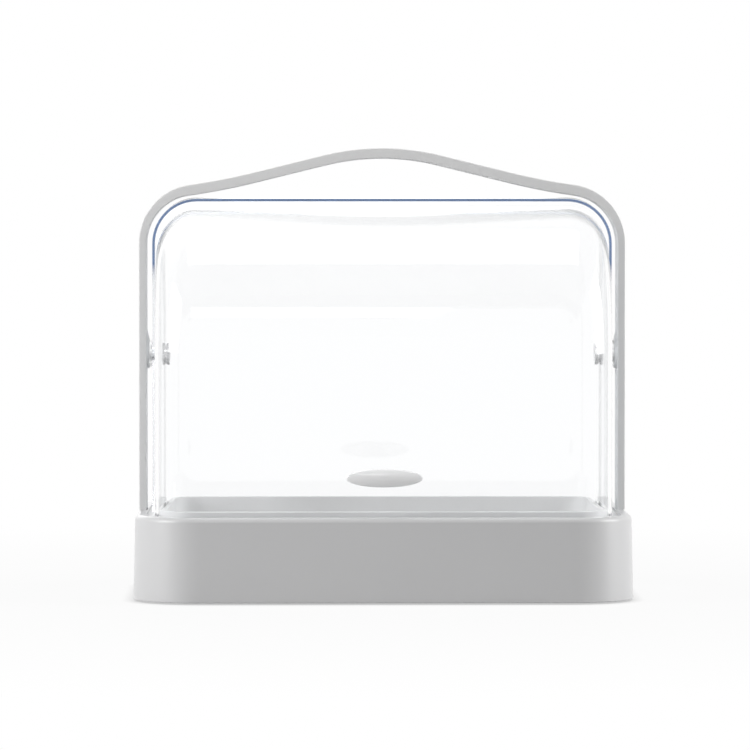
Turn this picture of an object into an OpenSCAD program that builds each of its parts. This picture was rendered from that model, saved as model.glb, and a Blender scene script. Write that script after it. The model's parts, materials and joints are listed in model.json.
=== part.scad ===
// Dustproof makeup organizer: a white base with a deep tray, a fixed arch handle and two nested clear
// covers. The rear cover is fixed. The front cover is a visor that turns about the pivots, along X.
// X is the width, the front faces -Y, and Z is up from the floor.

/* [Base] */
// Width of the base
base_w = 302; // [270:1:340]
// Depth of the base
base_d = 201; // [190:1:230]
// Height of the base shell
base_h = 51; // [46:1:64]
// Radius of the base's upright corners
base_corner_r = 40; // [24:1:42]
// Thickness of the base's skirt
base_wall = 2.6; // [2:0.1:3.2]
// Rounding of the rim's outer edge
rim_edge_r = 2.5; // [1.5:0.1:3]
// Width of the raised rim at the sides, where the arch stands
rim_side = 8; // [7.4:0.1:9]
// Width of the raised rim at the front and the rear
rim_end = 4; // [3.6:0.1:6]
// Depth of the channel that the covers stand in
channel_depth = 1.2; // [0.8:0.1:2]
// Thickness of the ledge under the channel
ledge_t = 2.6; // [2:0.1:3.2]

/* [Tray] */
// Depth of the tray below the rim
tray_depth = 34; // [24:1:36]
// Thickness of the tray's walls and floor
tray_wall = 2; // [1.6:0.1:2.6]
// Height of the collar above the rim
collar_h = 3; // [2:0.1:4]
// How far the collar reaches over the ledge
collar_lap = 1.4; // [1:0.1:2]

/* [Covers] */
// Thickness of the clear walls
cover_wall = 2; // [1.6:0.1:2.4]
// Rounding of the rear cover's corners
cover_corner_r = 27.5; // [22:0.5:32]
// Gap between the rear cover's side and the arch's leg
arch_gap = 3.4; // [2.6:0.1:4]
// Step from the rear cover's side to the front cover's side
shell_step = 3; // [2.8:0.1:3.6]
// Step from the rear cover's radius to the front cover's radius
shell_drop = 6; // [5:0.5:9]
// Height of the pivot above the channel
pivot_rise = 96.7; // [94:0.1:110]
// How far each cover reaches past the middle, under the arch
cover_lap = 12; // [9:0.5:12]
// Gap under the closed front cover
front_lift = 0.4; // [0.3:0.1:0.8]
// Width of the rear cover's tabs
tab_w = 20; // [12:1:30]
// Distance of those tabs from the middle
tab_x = 70; // [40:1:90]
// How far the tabs reach below the ledge
tab_reach = 4; // [2:0.5:6]

/* [Arch handle] */
// Thickness of the arch's legs
leg_t = 4.6; // [4:0.1:5.4]
// Thickness of the arch's top
crown_t = 6.2; // [5:0.1:8]
// Width of the arch band, front to rear
band_w = 26; // [24:1:32]
// Gap between the rear cover and the arch's shoulders
shoulder_gap = 1; // [0.6:0.1:4]
// Outer radius of the arch's crown
crown_r = 150; // [110:1:180]
// Slope of the arch beside the crown, in degrees
crown_slope = 13.8; // [11:0.1:16]
// Outer radius of the sweep between slope and shoulder
sweep_r = 400; // [300:10:500]
// Slope of the arch at its shoulders, in degrees
shoulder_slope = 8; // [6:0.1:10]
// Outer radius of the arch's upper corners
arch_corner_r = 36; // [33:1:42]
// Length of the tenons below the rim
tenon_l = 26; // [22:1:30]
// Step from the band's edges to the tenons' edges
tenon_step = 2; // [1:0.5:4]
// Depth of the arch screws below the rim
arch_screw_drop = 17; // [12:1:18]
// Distance between the two arch screws in a tenon
arch_screw_pitch = 12; // [9:0.5:14]

/* [Pivots] */
// Diameter of the pins' shoulder, on which the front cover turns
pin_d = 8; // [6:0.1:9]
// Diameter of the pins' threaded end
pin_thread_d = 5; // [3.5:0.1:5.5]
// Diameter of the pins' head
pin_head_d = 12; // [11:0.1:12.6]
// Thickness of the pins' head
pin_head_t = 1.4; // [1.2:0.1:2]
// Diameter of the knob caps inside the covers
cap_d = 14; // [13.6:0.1:18]
// Diameter of the arch's bosses and of the washers
boss_d = 18; // [16:0.5:20]
// How far the bosses stand off the legs
boss_t = 1.6; // [1:0.1:2]
// Thickness of the friction washers
friction_t = 0.9; // [0.6:0.1:1.2]
// Thickness of the caps' face
cap_t = 1.2; // [1:0.1:2]
// Thickness of leg left outside the pin
pin_cover = 1.6; // [1:0.1:2]

/* [Grip] */
// Width of the oval grip
grip_w = 46; // [36:1:60]
// Height of the oval grip
grip_h = 11; // [9:0.5:15]
// Thickness of the grip's oval head
grip_head_t = 5; // [4:0.1:6]
// Length of the grip's neck
grip_neck_l = 2.5; // [2:0.1:3]
// Height of the grip's middle above the channel
grip_rise = 24.6; // [16:0.1:40]
// How far the grip's crowned face falls back to its edge
grip_crown = 1.5; // [0.8:0.1:2.2]
// Distance between the two grip screws
grip_screw_pitch = 20; // [10:1:20]

/* [Plate, feet and screws] */
// Thickness of the base plate
plate_t = 2.4; // [2.2:0.1:3]
// Thickness of the ribs under the tray
rib_t = 1.8; // [1.2:0.1:2.4]
// Diameter of the rubber feet
foot_d = 16; // [12:0.5:20]
// How far the feet stand below the base
foot_drop = 1; // [0.8:0.1:2]
// How far the feet sit in the base plate
foot_seat = 1; // [0.6:0.1:1.2]
// Distance from the feet's middle to the base's sides
foot_inset = 30; // [26:1:40]
// Diameter of the screws' shank
screw_d = 2.8; // [2.2:0.1:3]
// Diameter of the screws' head
screw_head_d = 5.4; // [4.6:0.1:6]
// Length of the plate screws
plate_screw_l = 12; // [9:0.5:14]
// Diameter of the posts that take the plate screws
post_d = 8; // [6.5:0.1:9]
// Distance of the side posts from the base's front and rear
post_side_inset = 44; // [40:1:60]
// Distance of the end posts from the base's sides
post_end_inset = 69; // [55:1:90]

/* [Hidden] */
// Clearances: round a loose piece, on a running pin, and between faces that slide
fit = 0.3;
slip = 0.1;
run = 0.05;
over = 1; // cutters reach this far past what they cut

// Heights
rim_z = foot_drop + base_h;
channel_z = rim_z - channel_depth;
ledge_z = channel_z - ledge_t;
plate_top = foot_drop + plate_t;
tray_floor = rim_z - tray_depth;
pivot_z = channel_z + pivot_rise;

// Channel inside the rim
channel_half_w = base_w / 2 - rim_side;
channel_half_d = base_d / 2 - rim_end;
channel_clear = 0.5;
channel_corner_r = cover_corner_r + channel_clear;

// Covers, measured from the pivot axis
arch_inset = 2;
arch_half = base_w / 2 - arch_inset;
leg_in = arch_half - leg_t;
rear_half = leg_in - arch_gap;
rear_r = channel_half_d - channel_clear;
front_half = rear_half - shell_step;
front_r = rear_r - shell_drop;
front_corner_r = cover_corner_r - shell_step;
front_leg = pivot_rise - front_lift;
tab_l = ledge_t + tab_reach;

// Tray and its opening in the ledge
collar_gap = 1;
collar_half_w = front_half - cover_wall - collar_gap;
collar_half_d = front_r - cover_wall - collar_gap;
collar_corner_r = front_corner_r - cover_wall - collar_gap;
tray_half_w = collar_half_w - collar_lap;
tray_half_d = collar_half_d - collar_lap;
tray_corner_r = collar_corner_r - collar_lap;

// Tenons hang inside the skirt
tenon_out = base_w / 2 - base_wall - fit;
tenon_t = tenon_out - leg_in;
tenon_w = band_w - 2 * tenon_step;
tenon_z = rim_z - tenon_l;
socket_wall = 2.4;
socket_h = ledge_z + ledge_t / 2 - tenon_z;
arch_screw_l = socket_wall + fit + tenon_t - slip;

// Pivot stack, as distances from the middle
boss_face = leg_in - boss_t;
pin_end = arch_half - pin_cover;
friction_face = front_half - cover_wall - slip;
head_face = friction_face - friction_t;
cap_face = head_face - pin_head_t - cap_t;
washer_d = boss_d - 2;
friction_d = pin_head_d + 1;

// Screw posts between ledge and plate, in the space between skirt and tray
post_side_x = (base_w / 2 - base_wall + tray_half_w) / 2;
post_end_y = (base_d / 2 - base_wall + tray_half_d) / 2;
post_spots = [
    for (sx = [-1, 1], sy = [-1, 1]) [sx * post_side_x, sy * (base_d / 2 - post_side_inset)],
    for (sx = [-1, 1], sy = [-1, 1]) [sx * (base_w / 2 - post_end_inset), sy * post_end_y]
];
screw_head_t = 1.6;

// Grip
grip_z = channel_z + grip_rise;
grip_neck_w = grip_w - 14;
grip_neck_h = grip_h - 4;
grip_skin = 2.4; // plastic left in front of the screws
grip_screw_l = cover_wall + grip_neck_l + grip_head_t - grip_skin;

$fn = 96;

// ---- Plain shapes ----

// Rectangle about the middle, given by its half sizes, with round corners
module round_rect(half_w, half_d, r) {
    square([2 * (half_w - r), 2 * half_d], center = true);
    square([2 * half_w, 2 * (half_d - r)], center = true);
    for (sx = [-1, 1], sy = [-1, 1])
        translate([sx * (half_w - r), sy * (half_d - r)]) circle(r);
}

module round_block(half_w, half_d, r, z0, z1) {
    translate([0, 0, z0]) linear_extrude(z1 - z0) round_rect(half_w, half_d, r);
}

// Block with its upper outer edge rounded by a rolled bead along the whole outline
module rolled_block(half_w, half_d, r, z0, z1, edge) {
    round_block(half_w, half_d, r, z0, z1 - edge);
    round_block(half_w - edge, half_d - edge, r - edge, z0, z1);
    translate([0, 0, z1 - edge]) {
        for (sx = [0, 1], sy = [0, 1])
            mirror([sx, 0, 0]) mirror([0, sy, 0])
                translate([half_w - r, half_d - r, 0])
                    rotate_extrude(angle = 90) translate([r - edge, 0]) circle(edge);
        for (s = [-1, 1]) {
            translate([0, s * (half_d - edge), 0]) rod_x(edge, half_w - r);
            translate([s * (half_w - edge), 0, 0]) rotate([90, 0, 0])
                cylinder(r = edge, h = 2 * (half_d - r), center = true);
        }
    }
}

// Rod along X about the middle
module rod_x(r, half_l) {
    rotate([0, 90, 0]) cylinder(r = r, h = 2 * half_l, center = true);
}

// Turned piece on the pivot axis, from x0 outwards to x1, on the side given by its sign
module pivot_disc(side, d, x0, x1) {
    translate([side * (x0 + x1) / 2, 0, pivot_z]) rod_x(d / 2, abs(x1 - x0) / 2);
}

module pivot_ring(side, d_out, d_in, x0, x1) {
    difference() {
        pivot_disc(side, d_out, x0, x1);
        pivot_disc(side, d_in, x0 - over, x1 + over);
    }
}

// Countersunk screw with its head's face at z = 0, pointing up
module screw(l) {
    cylinder(d1 = screw_head_d, d2 = screw_d, h = screw_head_t);
    cylinder(d = screw_d, h = l);
}

// Hole for that screw, wider all round
module screw_hole(l) {
    wide = 2 * slip;
    translate([0, 0, -over]) cylinder(d = screw_head_d + wide, h = over);
    cylinder(d1 = screw_head_d + wide, d2 = screw_d + wide, h = screw_head_t);
    cylinder(d = screw_d + wide, h = l + slip);
}

// ---- Clear covers ----

// Half of a rounded box seen along the pivot: flat sides, round corners, reaching back to the lap
module cover_outline(half_w, r, corner, lap) {
    translate([-half_w, -lap]) square([2 * half_w, r - corner + lap]);
    translate([corner - half_w, -lap]) square([2 * (half_w - corner), r + lap]);
    for (s = [-1, 1]) translate([s * (half_w - corner), r - corner]) circle(corner);
}

// Solid dome: turned about the pivot above it, straight below it
module cover_solid(half_w, r, corner, lap, leg) {
    intersection() {
        rotate([90, 0, 0]) rotate([0, 90, 0])
            rotate_extrude(angle = 180) rotate(-90) cover_outline(half_w, r, corner, 0);
        translate([-half_w, -lap, 0]) cube([2 * half_w, r + lap, r]);
    }
    translate([0, 0, -leg]) linear_extrude(leg) cover_outline(half_w, r, corner, lap);
}

module cover_shell(half_w, r, corner, leg) {
    difference() {
        cover_solid(half_w, r, corner, cover_lap, leg);
        cover_solid(half_w - cover_wall, r - cover_wall, corner - cover_wall, cover_lap + over, leg + over);
    }
}

module rear_cover() {
    color([0.86, 0.91, 0.97, 0.35]) difference() {
        union() {
            translate([0, 0, pivot_z]) cover_shell(rear_half, rear_r, cover_corner_r, pivot_rise);
            for (s = [-1, 1])
                translate([s * tab_x - tab_w / 2, rear_r - cover_wall, channel_z - tab_l])
                    cube([tab_w, cover_wall, tab_l + over]);
        }
        pivot_bore(pin_d + 2 * slip);
    }
}

module front_cover() {
    color([0.9, 0.94, 0.98, 0.35]) difference() {
        intersection() {
            translate([0, 0, pivot_z]) mirror([0, 1, 0])
                cover_shell(front_half, front_r, front_corner_r, front_leg);
            // The lower rear corners keep inside the circle that they swing on
            union() {
                translate([0, 0, pivot_z]) rod_x(front_leg, front_half + over);
                translate([-front_half - over, -front_r - over, 0])
                    cube([2 * (front_half + over), front_r + over, pivot_z]);
                translate([-front_half - over, -front_r - over, pivot_z])
                    cube([2 * (front_half + over), 2 * (front_r + over), front_r + over]);
            }
        }
        pivot_bore(pin_d + 2 * run);
        grip_screw_spots() screw_hole(grip_screw_l);
    }
}

// Bore through both side walls
module pivot_bore(d) {
    translate([0, 0, pivot_z]) rod_x(d / 2, rear_half + over);
}

// ---- Grip ----

module oval(w, h) {
    polygon([for (a = [0:7.5:352.5]) [w / 2 * cos(a), h / 2 * sin(a)]]);
}

// The screws go in from inside the cover
module grip_screw_spots() {
    for (s = [-1, 1])
        translate([s * grip_screw_pitch / 2, -front_r + cover_wall, grip_z]) rotate([90, 0, 0]) children();
}

// Radius of a face that falls back by the grip's crown over that width
function crown_radius(w) = (w * w / 4 + grip_crown * grip_crown) / (2 * grip_crown);

module cover_grip() {
    low_r = crown_radius(grip_h);
    long_r = crown_radius(grip_w);
    color("white") difference() {
        translate([0, -front_r, grip_z]) rotate([90, 0, 0]) {
            linear_extrude(grip_neck_l + over) oval(grip_neck_w, grip_neck_h);
            intersection() {
                translate([0, 0, grip_neck_l]) linear_extrude(grip_head_t) oval(grip_w, grip_h);
                translate([0, 0, grip_neck_l + grip_head_t - low_r]) rod_x(low_r, grip_w);
                translate([0, 0, grip_neck_l + grip_head_t - long_r]) rotate([90, 0, 0])
                    cylinder(r = long_r, h = 2 * grip_h, center = true, $fn = 360);
            }
        }
        grip_screw_spots() screw_hole(grip_screw_l);
    }
}

module grip_screws() {
    color("silver") grip_screw_spots() screw(grip_screw_l);
}

// ---- Base ----

// What the children draw on the right side, on both sides
module both_sides() {
    for (m = [0, 1]) mirror([m, 0, 0]) children();
}

// Socket of a tenon: a wall inside it and cheeks out to the skirt
module tenon_sockets() {
    x_in = leg_in - fit - socket_wall;
    cheek = tenon_w / 2 + fit;
    both_sides() {
        translate([x_in, -cheek - socket_wall, tenon_z])
            cube([socket_wall, 2 * (cheek + socket_wall), socket_h]);
        for (m = [0, 1]) mirror([0, m, 0])
            translate([x_in, cheek, tenon_z])
                cube([base_w / 2 - base_wall / 2 - x_in, socket_wall, socket_h]);
    }
}

// The screws go in from inside the socket wall
module arch_screw_spots() {
    both_sides() for (s = [-1, 1])
        translate([leg_in - fit - socket_wall, s * arch_screw_pitch / 2, rim_z - arch_screw_drop])
            rotate([0, 90, 0]) children();
}

module base_shell() {
    color([0.93, 0.93, 0.94]) difference() {
        union() {
            difference() {
                rolled_block(base_w / 2, base_d / 2, base_corner_r, foot_drop, rim_z, rim_edge_r);
                round_block(base_w / 2 - base_wall, base_d / 2 - base_wall, base_corner_r - base_wall,
                    foot_drop - over, ledge_z);
                round_block(channel_half_w, channel_half_d, channel_corner_r, channel_z, rim_z + over);
            }
            for (p = post_spots)
                translate([p[0], p[1], plate_top]) cylinder(d = post_d, h = ledge_z - plate_top + over);
            tenon_sockets();
        }
        round_block(tray_half_w + fit, tray_half_d + fit, tray_corner_r + fit, 0, rim_z + over);
        both_sides() translate([leg_in - fit, -tenon_w / 2 - fit, tenon_z - over])
            cube([tenon_t + 2 * fit, tenon_w + 2 * fit, tenon_l + 2 * over]);
        arch_screw_spots() screw_hole(arch_screw_l);
        for (s = [-1, 1])
            translate([s * tab_x - tab_w / 2 - fit, rear_r - cover_wall - fit, ledge_z - over])
                cube([tab_w + 2 * fit, cover_wall + 2 * fit, ledge_t + 2 * over]);
        for (p = post_spots)
            translate([p[0], p[1], foot_drop]) screw_hole(plate_screw_l);
    }
}

module tray_liner() {
    color([0.96, 0.96, 0.96]) difference() {
        union() {
            round_block(tray_half_w, tray_half_d, tray_corner_r, tray_floor - tray_wall, channel_z);
            round_block(collar_half_w, collar_half_d, collar_corner_r, channel_z, rim_z + collar_h);
        }
        round_block(tray_half_w - tray_wall, tray_half_d - tray_wall, tray_corner_r - tray_wall,
            tray_floor, rim_z + collar_h + over);
    }
}

foot_spots = [
    for (sy = [-1, 1], sx = [-1, 1]) [sx * (base_w / 2 - foot_inset), sy * (base_d / 2 - foot_inset)]
];

module base_plate() {
    inset = base_wall + fit;
    rib_h = tray_floor - tray_wall - plate_top;
    rib_l = 2 * tray_half_w - 2 * tray_corner_r;
    rib_w = 2 * tray_half_d - 2 * tray_corner_r;
    color([0.9, 0.9, 0.91]) difference() {
        union() {
            round_block(base_w / 2 - inset, base_d / 2 - inset, base_corner_r - inset, foot_drop, plate_top);
            for (y = [-rib_w / 2, 0, rib_w / 2])
                translate([-rib_l / 2, y - rib_t / 2, plate_top - over]) cube([rib_l, rib_t, rib_h + over]);
            for (x = [-rib_l / 2 : rib_l / 4 : rib_l / 2])
                translate([x - rib_t / 2, -rib_w / 2, plate_top - over]) cube([rib_t, rib_w, rib_h + over]);
        }
        for (p = foot_spots)
            translate([p[0], p[1], 0]) cylinder(d = foot_d + 2 * slip, h = foot_drop + foot_seat);
        for (p = post_spots)
            translate([p[0], p[1], foot_drop]) screw_hole(plate_screw_l);
    }
}

module plate_screws() {
    color("silver") for (p = post_spots) translate([p[0], p[1], foot_drop]) screw(plate_screw_l);
}

module foot(i) {
    color([0.55, 0.56, 0.58])
        translate([foot_spots[i][0], foot_spots[i][1], 0]) cylinder(d = foot_d, h = foot_drop + foot_seat);
}

// ---- Arch handle ----

// Points of an arc that starts at p, with its heading turning from a0 to a1 below the horizontal
function arc(p, r, a0, a1, n = 12) =
    [for (i = [1:n]) let (a = a0 + (a1 - a0) * i / n) p + r * [sin(a) - sin(a0), cos(a) - cos(a0)]];

// Half outline from the crown to the leg: crown, slope, sweep back and corner, grown outwards by g
function arch_half_points(g_leg, g) =
    let (
        crown = crown_r - crown_t + g,
        sweep = sweep_r + crown_t - g,
        corner = arch_corner_r - crown_t + g,
        s1 = sin(crown_slope),
        s2 = sin(shoulder_slope),
        level = leg_in + g_leg - crown * s1 - sweep * (s1 - s2) - corner * (1 - s2),
        top = [0, crown_under + g],
        p1 = arc(top, crown, 0, crown_slope),
        p2 = p1[len(p1) - 1] + level * [1, -tan(crown_slope)],
        p3 = arc(p2, -sweep, crown_slope, shoulder_slope),
        p4 = arc(p3[len(p3) - 1], corner, shoulder_slope, 90)
    ) concat([top], p1, [p2], p3, p4);

// Drop from the inner crown to the shoulder, which sets how high the crown stands over the covers
crown_in = crown_r - crown_t;
sweep_in = sweep_r + crown_t;
corner_in = arch_corner_r - crown_t;
slope_run = leg_in - crown_in * sin(crown_slope) - sweep_in * (sin(crown_slope) - sin(shoulder_slope))
    - corner_in * (1 - sin(shoulder_slope));
crown_drop = crown_in * (1 - cos(crown_slope)) + slope_run * tan(crown_slope)
    + sweep_in * (cos(shoulder_slope) - cos(crown_slope));
crown_under = pivot_z + rear_r + shoulder_gap + crown_drop;

module arch_fill(g_leg, g, foot_z) {
    half = arch_half_points(g_leg, g);
    for (s = [0, 1]) mirror([s, 0]) polygon(concat([[0, foot_z]], half, [[leg_in + g_leg, foot_z]]));
}

module handle_arch() {
    color([0.95, 0.95, 0.95]) difference() {
        union() {
            rotate([90, 0, 0]) linear_extrude(band_w, center = true) difference() {
                arch_fill(leg_t, crown_t, rim_z);
                arch_fill(0, 0, rim_z - over);
            }
            both_sides() translate([leg_in, -tenon_w / 2, tenon_z]) cube([tenon_t, tenon_w, tenon_l + over]);
            for (side = [-1, 1]) pivot_disc(side, boss_d, boss_face, leg_in + over);
        }
        for (side = [-1, 1]) pivot_disc(side, pin_thread_d + 2 * slip, boss_face - over, pin_end + slip);
        arch_screw_spots() screw_hole(arch_screw_l);
    }
}

module arch_screws() {
    color("silver") arch_screw_spots() screw(arch_screw_l);
}

// ---- Pivots ----

module pivot_pin(side) {
    color("silver") {
        pivot_disc(side, pin_thread_d, boss_face - over, pin_end);
        pivot_disc(side, pin_d, head_face - pin_head_t / 2, boss_face);
        pivot_disc(side, pin_head_d, head_face - pin_head_t, head_face);
    }
}

module pivot_cap(side) {
    color("white") difference() {
        pivot_disc(side, cap_d, cap_face, head_face - slip);
        pivot_disc(side, pin_head_d + 2 * slip, head_face - pin_head_t, head_face + over);
    }
}

module arch_washer(side) {
    color([0.8, 0.82, 0.84]) pivot_ring(side, washer_d, pin_d + 2 * slip, rear_half, boss_face);
}

module cover_spacer(side) {
    color([0.8, 0.82, 0.84]) pivot_ring(side, washer_d, pin_d + 2 * slip, front_half + slip,
        rear_half - cover_wall);
}

module friction_washer(side) {
    color("silver") pivot_ring(side, friction_d, pin_d + 2 * slip, head_face, friction_face);
}

base_shell();
tray_liner();
base_plate();
plate_screws();
foot(0);  // foot_front_left
foot(1);  // foot_front_right
foot(2);  // foot_rear_left
foot(3);  // foot_rear_right
handle_arch();
arch_screws();
rear_cover();
front_cover();
cover_grip();
grip_screws();
pivot_pin(-1);  // pivot_pin_left
pivot_pin(1);  // pivot_pin_right
pivot_cap(-1);  // pivot_cap_left
pivot_cap(1);  // pivot_cap_right
arch_washer(-1);  // arch_washer_left
arch_washer(1);  // arch_washer_right
cover_spacer(-1);  // cover_spacer_left
cover_spacer(1);  // cover_spacer_right
friction_washer(-1);  // friction_washer_left
friction_washer(1);  // friction_washer_right
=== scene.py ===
import json
import math

import bmesh
import bpy
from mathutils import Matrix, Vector


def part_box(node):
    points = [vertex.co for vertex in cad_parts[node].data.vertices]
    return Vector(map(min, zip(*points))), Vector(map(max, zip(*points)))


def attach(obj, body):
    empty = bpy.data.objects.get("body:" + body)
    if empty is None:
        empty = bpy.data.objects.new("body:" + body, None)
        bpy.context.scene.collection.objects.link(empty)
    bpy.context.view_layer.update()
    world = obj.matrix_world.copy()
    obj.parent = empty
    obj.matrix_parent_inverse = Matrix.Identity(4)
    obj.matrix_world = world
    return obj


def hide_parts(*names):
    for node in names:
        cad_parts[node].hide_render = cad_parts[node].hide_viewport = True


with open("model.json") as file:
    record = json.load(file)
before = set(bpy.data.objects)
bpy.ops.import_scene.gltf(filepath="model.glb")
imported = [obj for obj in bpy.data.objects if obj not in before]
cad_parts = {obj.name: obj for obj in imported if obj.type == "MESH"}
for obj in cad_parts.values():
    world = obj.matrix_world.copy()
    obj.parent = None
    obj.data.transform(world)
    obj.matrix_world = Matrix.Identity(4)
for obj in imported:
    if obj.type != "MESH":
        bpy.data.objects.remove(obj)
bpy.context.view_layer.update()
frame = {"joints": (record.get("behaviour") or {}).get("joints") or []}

MM = 0.001
TINY = 0.001 * MM
NEAR = 0.02 * MM  # How close a face or a vertex lies to where it is looked for
PAST = 1 * MM  # How far a cutter or a buried end reaches past a surface
SPIN_WAY = -1  # The spin tool counts its angle against the right-hand rule


# ---- Modelling by hand: small names for the editor's own tools ----

def leave():
    """Back to object mode with nothing selected."""
    if bpy.context.mode != "OBJECT":
        bpy.ops.object.mode_set(mode="OBJECT")
    bpy.ops.object.select_all(action="DESELECT")


def take(piece):
    """Makes a piece the selected and active one."""
    leave()
    piece.select_set(True)
    bpy.context.view_layer.objects.active = piece


def settle(piece):
    """Puts a piece's place into its mesh, so that its object sits at the origin."""
    take(piece)
    bpy.ops.object.transform_apply(location=True, rotation=True, scale=True)


def named(piece_name):
    piece = bpy.context.object
    piece.name = piece_name
    piece.data.name = piece_name
    settle(piece)
    return piece


def block(piece_name, low, high):
    """Box between two corners."""
    leave()
    low, high = Vector(low), Vector(high)
    bpy.ops.mesh.primitive_cube_add(size=1, location=(low + high) / 2)
    bpy.context.object.scale = high - low
    return named(piece_name)


def rod(piece_name, radius, start, axis, length, sides=64):
    """Cylinder from a point along X, Y or Z."""
    leave()
    turn = {"x": (0, math.pi / 2, 0), "y": (-math.pi / 2, 0, 0), "z": (0, 0, 0)}[axis]
    way = {"x": Vector((1, 0, 0)), "y": Vector((0, 1, 0)), "z": Vector((0, 0, 1))}[axis]
    bpy.ops.mesh.primitive_cylinder_add(
        vertices=sides, radius=radius, depth=abs(length),
        location=Vector(start) + way * length / 2, rotation=turn)
    return named(piece_name)


def edit(piece, kind):
    """Edit mode with nothing selected; kind is VERT, EDGE or FACE."""
    take(piece)
    bpy.ops.object.mode_set(mode="EDIT")
    bpy.ops.mesh.select_mode(type=kind)
    bpy.ops.mesh.select_all(action="DESELECT")


def pick(piece, kind, test):
    """Selects the faces, edges or vertices that pass a test, and nothing else."""
    bpy.ops.mesh.select_all(action="DESELECT")
    mesh = bmesh.from_edit_mesh(piece.data)
    for item in getattr(mesh, kind):
        if test(item):
            item.select_set(True)
    mesh.select_flush_mode()
    bmesh.update_edit_mesh(piece.data)


def middle(item):
    """Middle of an edge or a face."""
    return sum((v.co for v in item.verts), Vector()) / len(item.verts)


def pull(offset):
    bpy.ops.mesh.extrude_region_move(TRANSFORM_OT_translate={"value": Vector(offset)})


def stretch(x, y, z, centre=(0, 0, 0)):
    bpy.ops.transform.resize(value=(x, y, z), center_override=centre)


def modify(piece, kind, **settings):
    """Adds a modifier and applies it."""
    take(piece)
    modifier = piece.modifiers.new(kind.lower(), kind)
    for key, value in settings.items():
        setattr(modifier, key, value)
    bpy.ops.object.modifier_apply(modifier=modifier.name)


def cut(piece, cutter, operation="DIFFERENCE"):
    modify(piece, "BOOLEAN", object=cutter, operation=operation, solver="EXACT")
    bpy.data.objects.remove(cutter)


def smooth(piece, angle=35):
    """Smooth shading that keeps flat faces flat and sharp edges sharp."""
    take(piece)
    bpy.ops.object.shade_smooth_by_angle(angle=math.radians(angle))
    modify(piece, "WEIGHTED_NORMAL", keep_sharp=True)


def merge(piece):
    """Joins vertices that lie together and turns the faces outwards."""
    edit(piece, "VERT")
    bpy.ops.mesh.select_all(action="SELECT")
    bpy.ops.mesh.remove_doubles(threshold=0.01 * MM)
    bpy.ops.mesh.normals_make_consistent(inside=False)
    leave()


def round_posts(piece, radius, segments=20):
    """Rounds a box's upright edges."""
    edit(piece, "EDGE")
    pick(piece, "edges", lambda e: abs(e.verts[0].co.z - e.verts[1].co.z) > TINY)
    bpy.ops.mesh.bevel(offset=radius, segments=segments, profile=0.5)


def pick_face(piece, axis, at, way):
    """Selects the flat faces at that place along an axis (0, 1 or 2) that look along it, or against it."""
    pick(piece, "faces", lambda f: f.normal[axis] * way > 0.9 and abs(middle(f)[axis] - at) < NEAR)


def round_loop(piece, z, way, radius, segments=3):
    """Rounds the level loop at that height where a wall ends: the outer one for 1, the inner one for -1."""
    def turns(e):
        if any(abs(v.co.z - z) > NEAR for v in e.verts):
            return False
        at = middle(e)
        return any(abs(f.normal.z) < 0.5 and (f.normal.x * at.x + f.normal.y * at.y) * way > 0
                   for f in e.link_faces)
    edit(piece, "EDGE")
    pick(piece, "edges", turns)
    bpy.ops.mesh.bevel(offset=radius, segments=segments, profile=0.5, clamp_overlap=True)
    leave()


def round_sharp(piece, radius, segments=2, angle=60, test=lambda e: True):
    """Rounds every sharp edge that passes a test."""
    edit(piece, "EDGE")
    pick(piece, "edges", lambda e: len(e.link_faces) == 2 and e.calc_face_angle() > math.radians(angle)
         and test(e))
    bpy.ops.mesh.bevel(offset=radius, segments=segments, profile=0.5, clamp_overlap=True)
    leave()


def joined(pieces, piece_name):
    take(pieces[0])
    for piece in pieces[1:]:
        piece.select_set(True)
    bpy.ops.object.join()
    return named(piece_name)


def copied(piece, piece_name, offset=(0, 0, 0), turn=(0, 0, 0), flip_x=False):
    """Copy with its own mesh, turned and moved, or mirrored across the middle."""
    take(piece)
    bpy.ops.object.duplicate(linked=False)
    twin = bpy.context.object
    twin.location = Vector(offset)
    twin.rotation_euler = turn
    if flip_x:
        twin.scale = (-1, 1, 1)
    twin.name = piece_name
    settle(twin)
    if flip_x:
        edit(twin, "FACE")
        bpy.ops.mesh.select_all(action="SELECT")
        bpy.ops.mesh.normals_make_consistent(inside=False)
        leave()
    return twin


def place(piece, body, slot, material, *nodes):
    """Finishes a piece: what it is made of, what it moves with and what it stands for."""
    piece.data.materials.clear()
    piece.data.materials.append(material)
    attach(piece, body)
    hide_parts(*nodes)
    return piece


# ---- Materials ----

def node(tree, kind, props=None, **sockets):
    """Adds a shader node; a socket given as a socket is linked, as a value is set."""
    made = tree.nodes.new("ShaderNode" + kind)
    for key, value in (props or {}).items():
        setattr(made, key, value)
    for key, value in sockets.items():
        socket = made.inputs[int(key[1:])] if key[1:].isdigit() else made.inputs[key.replace("_", " ")]
        if isinstance(value, bpy.types.NodeSocket):
            tree.links.new(value, socket)
        else:
            socket.default_value = value
    return made


def effect(group_name, inputs, outputs):
    """Starts a node group with named sockets and returns its tree and its inner ends."""
    group = bpy.data.node_groups.new(group_name, "ShaderNodeTree")
    for key, kind, value in inputs:
        socket = group.interface.new_socket(name=key, in_out="INPUT", socket_type="NodeSocket" + kind)
        if value is not None:
            socket.default_value = value
    for key, kind in outputs:
        group.interface.new_socket(name=key, in_out="OUTPUT", socket_type="NodeSocket" + kind)
    return group, group.nodes.new("NodeGroupInput"), group.nodes.new("NodeGroupOutput")


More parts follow.
